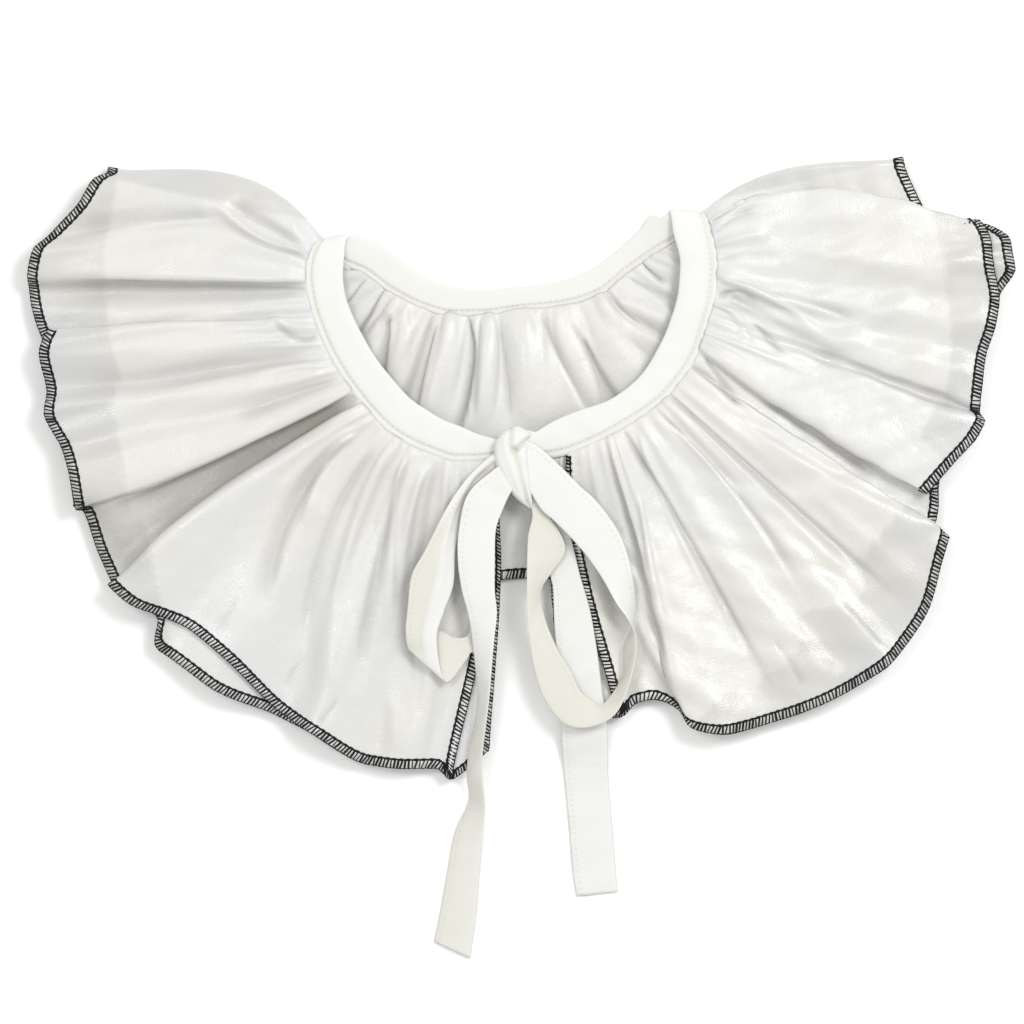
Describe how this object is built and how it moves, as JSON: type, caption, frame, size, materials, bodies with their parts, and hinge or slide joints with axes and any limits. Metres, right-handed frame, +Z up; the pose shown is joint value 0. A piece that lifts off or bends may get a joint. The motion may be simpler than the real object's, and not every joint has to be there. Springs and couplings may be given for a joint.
{
  "type": "ruffle collar",
  "caption": "Detachable two-layer organza ruffle collar with dark overlocked edges, a folded neckband and a front bow, lying face up.",
  "frame": {"origin": "on the table under the middle of the collar's box, as it lies", "axes": "+X to the right of the picture, along the width over both wings; +Y towards the back of the neck; +Z up from the table"},
  "size_m": [0.3938, 0.322, 0.0185],
  "materials": {
    "organza": "sheer woven organza, white, soft sheen",
    "overlock_thread": "black overlock thread over white cloth",
    "band_cloth": "plain off-white cotton, matte"
  },
  "bodies": {
    "root": {"ruffle_outer": "organza", "ruffle_inner": "organza", "edging_outer": "overlock_thread", "edging_inner": "overlock_thread", "neckband": "band_cloth", "bow_knot": "band_cloth", "bow_loop_left": "band_cloth", "bow_loop_right": "band_cloth", "tie_end_left": "band_cloth", "tie_end_right": "band_cloth"}
  },
  "joints": []
}
